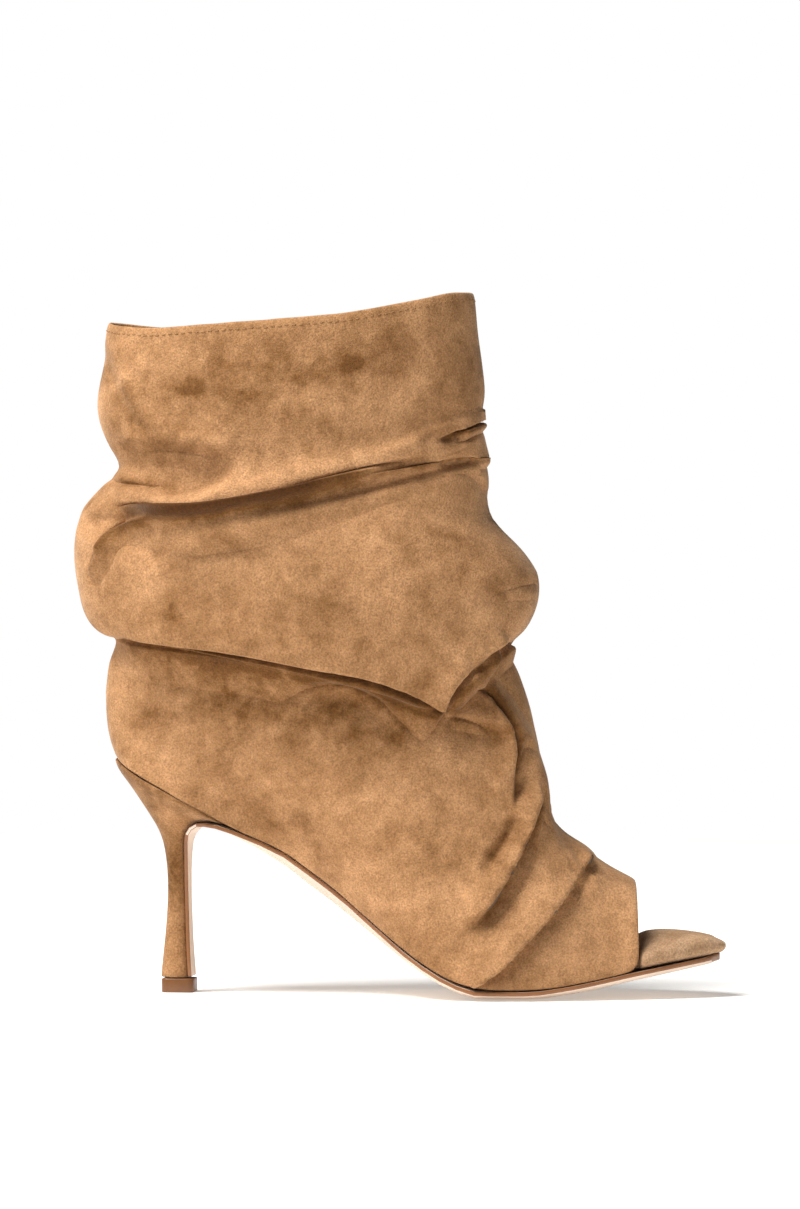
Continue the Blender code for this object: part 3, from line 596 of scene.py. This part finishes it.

# Where a hand has brushed the nap the other way, and painted shade and painted light where folds and faces
# turn from or towards the light, in mm from the outer side: middle, half length, half width, slope in
# degrees, and how much darker (or lighter, below 0) the colour is painted.
NAP_AND_SHADING_PATCHES = [
    (63.0, 236.0, 22.0, 6.0, 14.0, 0.55), (1.0, 228.0, 14.0, 8.0, -20.0, 0.35),
    (27.0, 223.0, 13.0, 8.0, 0.0, 0.3),
    (84.0, 222.0, 16.0, 8.0, 15.0, -0.35), (110.0, 241.0, 6.0, 12.0, 0.0, 0.25),
    (54.0, 142.0, 20.0, 11.0, 10.0, 0.35), (74.0, 163.0, 15.0, 6.0, 0.0, 0.25),
    (-4.0, 144.0, 11.0, 9.0, 20.0, 0.45),
    (91.0, 148.0, 12.0, 6.0, 0.0, 0.25), (31.0, 163.0, 22.0, 9.0, 10.0, -0.3),
    (125.0, 157.0, 9.0, 5.0, 10.0, 0.45),
    (103.0, 115.0, 10.0, 6.0, 40.0, -0.4), (22.0, 114.0, 28.0, 9.0, -25.0, 0.4),
    (46.0, 99.0, 19.0, 9.0, -25.0, 0.4),
    (78.0, 93.0, 12.0, 7.0, -15.0, 0.5), (-14.0, 106.0, 11.0, 6.0, 0.0, 0.35),
    (-18.0, 118.0, 6.0, 14.0, 0.0, -0.35),
    (35.0, 61.0, 12.0, 5.0, 10.0, 0.45), (78.0, 58.0, 10.0, 6.0, 30.0, 0.35),
    (57.0, 43.0, 20.0, 7.0, -35.0, -0.2),
    (50.0, 110.0, 36.0, 9.0, -12.0, 0.3), (40.0, 234.0, 60.0, 17.0, 6.0, 0.4),
    (52.0, 92.0, 50.0, 24.0, -20.0, 0.28), (44.0, 194.0, 60.0, 5.0, 12.0, -0.5),
    (140.0, 22.0, 18.0, 16.0, 20.0, -0.35), (151.0, 34.0, 9.0, 9.0, 45.0, -0.25),
    (119.0, 70.0, 5.0, 12.0, 10.0, 0.3), (100.0, 78.0, 8.0, 14.0, 0.0, -0.25),
]


PATCH_STRENGTH = 1.15


def paint_nap_and_shading(shape):
    """Adds how the nap is brushed at each vertex, with painted shade and painted light, to the suede's
    colour attribute.
    """
    points = np.array([v.co for v in shape.verts])
    spots = side_view(points)
    nap_and_shading_value = np.zeros(len(spots))
    for middle, height, long, wide, slope, amount in NAP_AND_SHADING_PATCHES:
        turn = math.radians(slope)
        off = spots - (middle, height)
        along = off @ (math.cos(turn), math.sin(turn))
        over = off @ (-math.sin(turn), math.cos(turn))
        nap_and_shading_value += amount * np.exp(-(along / long) ** 2 - (over / wide) ** 2)
    nap_and_shading_value *= outer_share(points)
    layer = shape.verts.layers.float["nap_and_shading"]
    for vert, value in zip(shape.verts, nap_and_shading_value):
        ragged = 1.0 + 0.6 * noise.noise(vert.co * 80.0) + 0.4 * noise.noise(vert.co * 260.0)
        vert[layer] += PATCH_STRENGTH * value * max(ragged, 0.0)


# The suede's colour gets the brushed nap patches, with painted shade and painted light.
paint_nap_and_shading(suede_upper)
suede_tree = BVHTree.FromBMesh(suede_upper)
upper = new_piece("upper_suede", suede_upper, suede)

weave_material, tree, shader, place = new_material("lining cloth", Specular_IOR_Level=0.2)
warp = add(tree, "ShaderNodeTexWave", Vector=place, Scale=420.0, Distortion=0.4, bands_direction="DIAGONAL")
weft = add(tree, "ShaderNodeTexNoise", Vector=place, Scale=900.0, Detail=2.0)
thread = sums(tree, "MULTIPLY", warp.outputs["Fac"], weft.outputs["Fac"])
weave_colour = blend_colour(tree, thread, (0.13, 0.085, 0.058, 1.0), (0.24, 0.17, 0.12, 1.0))
tree.links.new(weave_colour, shader.inputs["Base Color"])
tree.links.new(ranged(tree, thread, 0.0, 1.0, 0.75, 0.95), shader.inputs["Roughness"])
weave_bump = add(tree, "ShaderNodeBump", Strength=0.5, Distance=0.2 * MM, Height=thread)
tree.links.new(weave_bump.outputs["Normal"], shader.inputs["Normal"])
lining = new_piece("upper_lining", lining_shape, weave_material)
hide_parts("upper")


# Collar stitching
# One row of thread holds the turned edge of the collar, a few millimetres below it.

STITCH_DROP = 2.6 * MM
STITCH_PITCH = 2.7 * MM
STITCH_LENGTH = 1.9 * MM
STITCH_WIDTH = 0.45 * MM


def stitch_row(points, tree):
    """A row of stitches laid on a surface along a closed run of points."""
    shape = bmesh.new()
    lengths = [0.0]
    for a, b in zip(points, points[1:] + points[:1]):
        lengths.append(lengths[-1] + (b - a).length)
    count = int(lengths[-1] / STITCH_PITCH)
    for number in range(count):
        ends = []
        for place in (number * STITCH_PITCH, number * STITCH_PITCH + STITCH_LENGTH):
            index = max(i for i, length in enumerate(lengths[:-1]) if length <= place)
            share = (place - lengths[index]) / max(lengths[index + 1] - lengths[index], 1e-9)
            flat = points[index].lerp(points[(index + 1) % len(points)], min(share, 1.0))
            found, normal, _, _ = tree.find_nearest(flat)
            ends.append((found, normal))
        (start, lift), (stop, _) = ends
        along = (stop - start).normalized()
        made = bmesh.ops.create_uvsphere(shape, u_segments=6, v_segments=4, radius=0.5)["verts"]
        bmesh.ops.scale(shape, vec=(STITCH_LENGTH, STITCH_WIDTH, STITCH_WIDTH), verts=made)
        side = lift.cross(along).normalized()
        for vert in made:
            local = vert.co.copy()
            vert.co = (start + stop) * 0.5 + along * local.x + side * local.y + lift * (local.z + 0.05 * MM)
    return shape


def collar_run():
    """Points round the outer wall, one stitch drop below the collar's edge."""
    run = []
    steps = 240
    middle = Vector((0.044, 0.0, 0.0))
    for i in range(steps):
        turn = 2.0 * math.pi * i / steps
        out = Vector((math.cos(turn), math.sin(turn), 0.0))
        top = None
        for low in range(60):
            height = 0.266 - low * 0.5 * MM
            start = Vector((middle.x, middle.y, height)) + out * 0.15
            hit = suede_tree.ray_cast(start, -out, 0.149)[0]
            if hit is not None:
                top = hit
                break
        below = Vector((middle.x, middle.y, top.z - STITCH_DROP)) + out * 0.15
        run.append(suede_tree.ray_cast(below, -out, 0.149)[0])
    return run


thread_material, tree, shader, place = new_material("collar thread", Specular_IOR_Level=0.3)
twist = add(tree, "ShaderNodeTexNoise", Vector=place, Scale=2500.0, Detail=1.0).outputs["Fac"]
twist_colour = blend_colour(tree, twist, (0.20, 0.095, 0.032, 1.0), (0.34, 0.18, 0.07, 1.0))
tree.links.new(twist_colour, shader.inputs["Base Color"])
tree.links.new(ranged(tree, twist, 0.0, 1.0, 0.5, 0.7), shader.inputs["Roughness"])
new_piece("collar_stitches", stitch_row(collar_run(), suede_tree), thread_material)


# Footbed
# A padded insole board wrapped in the same suede, glued in and left to show past the toe opening.

COVER_THICKNESS = 0.3 * MM
NOSE_LENGTH = 6.0 * MM
NOSE_ROUND = 3.2 * MM
NOSE_FULLNESS = 2.5
footbed_shape = rounded(merged_copy("footbed"), 2)
footbed_shape.normal_update()
tip = max(v.co.x for v in footbed_shape.verts)
nose = [v for v in footbed_shape.verts if v.co.x > tip - NOSE_LENGTH]
nose_middle = 0.5 * (max(v.co.z for v in nose) + min(v.co.z for v in nose))
nose_half = 0.5 * (max(v.co.z for v in nose) - min(v.co.z for v in nose))
for vert in footbed_shape.verts:
    vert.co += vert.normal * COVER_THICKNESS
for vert in nose:  # the cover is drawn round the board's front edge
    far = float(ease((vert.co.x - tip) / NOSE_LENGTH + 1.0))
    vert.co.x -= NOSE_ROUND * far * abs((vert.co.z - nose_middle) / nose_half) ** NOSE_FULLNESS
layer = footbed_shape.verts.layers.float.new("nap_and_shading")
for vert in footbed_shape.verts:
    vert[layer] = 0.25 * noise.noise(vert.co * 60.0)
FOOTBED_LIFTED = (0.56, 0.36, 0.215, 1.0)
FOOTBED_LAID = (0.27, 0.145, 0.066, 1.0)
footbed_suede = suede_material("footbed suede", FOOTBED_LIFTED, FOOTBED_LAID, 45.0)
footbed = new_piece("footbed_cover", footbed_shape, footbed_suede)
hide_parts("footbed")


# Outsole
# A thin leather sole cut from one sheet, with a brown painted edge and a pale buffed underside.
# It runs up the shank and down over the breast of the heel.

leather_grain = new_group("fine grain", [
    ("Place", "NodeSocketVector", None),
    ("Face", "NodeSocketColor", (0.8, 0.7, 0.6, 1.0)),
    ("Worn", "NodeSocketColor", (0.6, 0.5, 0.4, 1.0)),
    ("Grain scale", "NodeSocketFloat", 1200.0),
    ("Wear scale", "NodeSocketFloat", 60.0),
    ("Dull", "NodeSocketFloat", 0.6),
    ("Glossy", "NodeSocketFloat", 0.4),
], [
    ("Colour", "NodeSocketColor"), ("Height", "NodeSocketFloat"), ("Roughness", "NodeSocketFloat"),
])
tree = leather_grain
given = tree.nodes.new("NodeGroupInput").outputs
cells = add(tree, "ShaderNodeTexVoronoi", Vector=given["Place"],
            Scale=given["Grain scale"]).outputs["Distance"]
wear = add(tree, "ShaderNodeTexNoise", Vector=given["Place"], Scale=given["Wear scale"], Detail=5.0,
           Roughness=0.65).outputs["Fac"]
rubbed = ranged(tree, wear, 0.35, 0.7, 0.0, 1.0)
face_colour = blend_colour(tree, rubbed, given["Face"], given["Worn"])
rough = add(tree, "ShaderNodeMapRange", _0=sums(tree, "MULTIPLY_ADD", cells, 0.4, wear), _1=0.3, _2=0.9,
            _3=given["Glossy"], _4=given["Dull"]).outputs[0]
raised = sums(tree, "MULTIPLY_ADD", wear, 0.5, cells)
add(tree, "NodeGroupOutput", Colour=face_colour, Height=raised, Roughness=rough)


def grained_material(name, face, worn_colour, grain_scale, wear_scale, dull, glossy, bump_height,
                     **constants):
    """A material of the fine grain; dull and glossy are its two roughnesses."""
    material, tree, shader, place = new_material(name, **constants)
    node = tree.nodes.new("ShaderNodeGroup")
    node.node_tree = leather_grain
    tree.links.new(place, node.inputs["Place"])
    for title, value in (("Face", face), ("Worn", worn_colour), ("Grain scale", grain_scale),
                         ("Wear scale", wear_scale), ("Dull", dull), ("Glossy", glossy)):
        node.inputs[title].default_value = value
    dress(tree, shader, node, bump_height)
    return material


def break_edges(shape, angle, offset, segments, material=-1):
    """Rounds the edges of a bmesh that are sharper than an angle in degrees."""
    sharp = [e for e in shape.edges if len(e.link_faces) == 2 and e.calc_face_angle() > math.radians(angle)]
    bmesh.ops.bevel(
        shape, geom=sharp, offset=offset, segments=segments, affect="EDGES", profile=0.5, material=material)


underside = grained_material("buffed sole leather", (0.74, 0.60, 0.49, 1.0), (0.66, 0.52, 0.41, 1.0),
                             900.0, 45.0, 0.7, 0.5, 0.06 * MM)
painted = grained_material("painted edge", (0.27, 0.105, 0.030, 1.0), (0.20, 0.073, 0.020, 1.0),
                           700.0, 90.0, 0.5, 0.32, 0.05 * MM, Coat_Weight=0.15)
sole_shape = merged_copy("outsole")
sole_shape.normal_update()
TIP_LENGTH = 6.0 * MM
TIP_SET_BACK = 2.0 * MM
tip = max(v.co.x for v in sole_shape.verts)
for vert in sole_shape.verts:
    vert.co.x -= TIP_SET_BACK * float(ease((vert.co.x - tip) / TIP_LENGTH + 1.0))
for face in sole_shape.faces:
    if abs(face.normal.y) > 0.75 or (face.calc_center_median().x > 0.19 and abs(face.normal.z) < 0.6):
        face.material_index = 1
break_edges(sole_shape, 35, 0.25 * MM, 2, 1)
sole = new_piece("outsole_leather", sole_shape, underside, painted)
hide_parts("outsole")


# Heel
# A moulded block covered in the upper's suede, drawn tight and closed at the breast.

heel_shape = merged_copy("heel")
break_edges(heel_shape, 50, 0.3 * MM, 2)
heel_shape = rounded(heel_shape, 2)
heel_shape.normal_update()
for vert in heel_shape.verts:
    vert.co += vert.normal * COVER_THICKNESS
layer = heel_shape.verts.layers.float.new("nap_and_shading")
for vert in heel_shape.verts:
    vert[layer] = 0.6 + 0.5 * noise.noise(vert.co * 45.0)
heel = new_piece("heel_cover", heel_shape, suede_material("heel suede", SUEDE_LIFTED, SUEDE_LAID_AND_SHADE, 45.0))
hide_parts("heel")


# Top piece
# A moulded tip of hard rubber, pinned under the heel, with its edges just broken.

top_shape = merged_copy("top_piece")
break_edges(top_shape, 50, 0.35 * MM, 3)
moulded = grained_material("moulded top piece", (0.175, 0.066, 0.014, 1.0), (0.14, 0.050, 0.010, 1.0),
                           2200.0, 160.0, 0.42, 0.26, 0.03 * MM, Coat_Weight=0.1, Coat_Roughness=0.2)
top_piece = new_piece("top_piece_moulding", top_shape, moulded)
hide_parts("top_piece")


# Shank plate
# A small plain oval of plated metal, let on to the shank's underside.

plate_shape = merged_copy("shank_plate")
break_edges(plate_shape, 60, 0.2 * MM, 2)
plated = grained_material("plated metal", (0.62, 0.60, 0.56, 1.0), (0.52, 0.50, 0.46, 1.0),
                          1500.0, 220.0, 0.38, 0.2, 0.02 * MM, Metallic=1.0)
plate = new_piece("shank_plate_metal", plate_shape, plated)
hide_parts("shank_plate")


# Studio
# A pale floor, and soft light from above, from the left and from all around.

floor_shape = bmesh.new()
bmesh.ops.create_grid(floor_shape, x_segments=2, y_segments=2, size=1.0)
bmesh.ops.scale(floor_shape, vec=(1.7, 2.0, 1.0), verts=floor_shape.verts)
bmesh.ops.translate(floor_shape, vec=(0.0, -0.75, 0.0), verts=floor_shape.verts)
floor_mesh = bpy.data.meshes.new("studio_floor")
floor_shape.to_mesh(floor_mesh)
floor_shape.free()
floor = bpy.data.objects.new("studio_floor", floor_mesh)
bpy.context.scene.collection.objects.link(floor)
floor_material, tree, shader, place = new_material("pale floor", Roughness=0.7, Specular_IOR_Level=0.2)
mottle = add(tree, "ShaderNodeTexNoise", Vector=place, Scale=3.0, Detail=2.0).outputs["Fac"]
floor_colour = blend_colour(tree, mottle, (0.90, 0.885, 0.86, 1.0), (0.93, 0.915, 0.89, 1.0))
tree.links.new(floor_colour, shader.inputs["Base Color"])
shader.inputs["Emission Color"].default_value = (1.0, 0.99, 0.97, 1.0)
shader.inputs["Emission Strength"].default_value = 0.25
floor_mesh.materials.append(floor_material)


def softbox(name, place, size, power, aim=(0.07, 0.0, 0.10)):
    """A square area light that faces the boot."""
    light = bpy.data.lights.new(name, "AREA")
    light.size = size
    light.energy = power
    lamp = bpy.data.objects.new(name, light)
    lamp.location = place
    lamp.rotation_euler = (Vector(aim) - lamp.location).to_track_quat("-Z", "Y").to_euler()
    bpy.context.scene.collection.objects.link(lamp)


softbox("overhead", (-0.7, -0.5, 1.9), 1.0, 84.0)
softbox("left", (-1.5, -1.3, 1.0), 0.8, 6.0)

world = bpy.data.worlds.new("studio")
world.use_nodes = True
tree = world.node_tree
backdrop = tree.nodes["Background"]
backdrop.inputs["Color"].default_value = (1.0, 1.0, 1.0, 1.0)
seen = tree.nodes.new("ShaderNodeLightPath").outputs["Is Camera Ray"]
tree.links.new(ranged(tree, seen, 0.0, 1.0, 0.16, 1.0), backdrop.inputs["Strength"])
bpy.context.scene.world = world
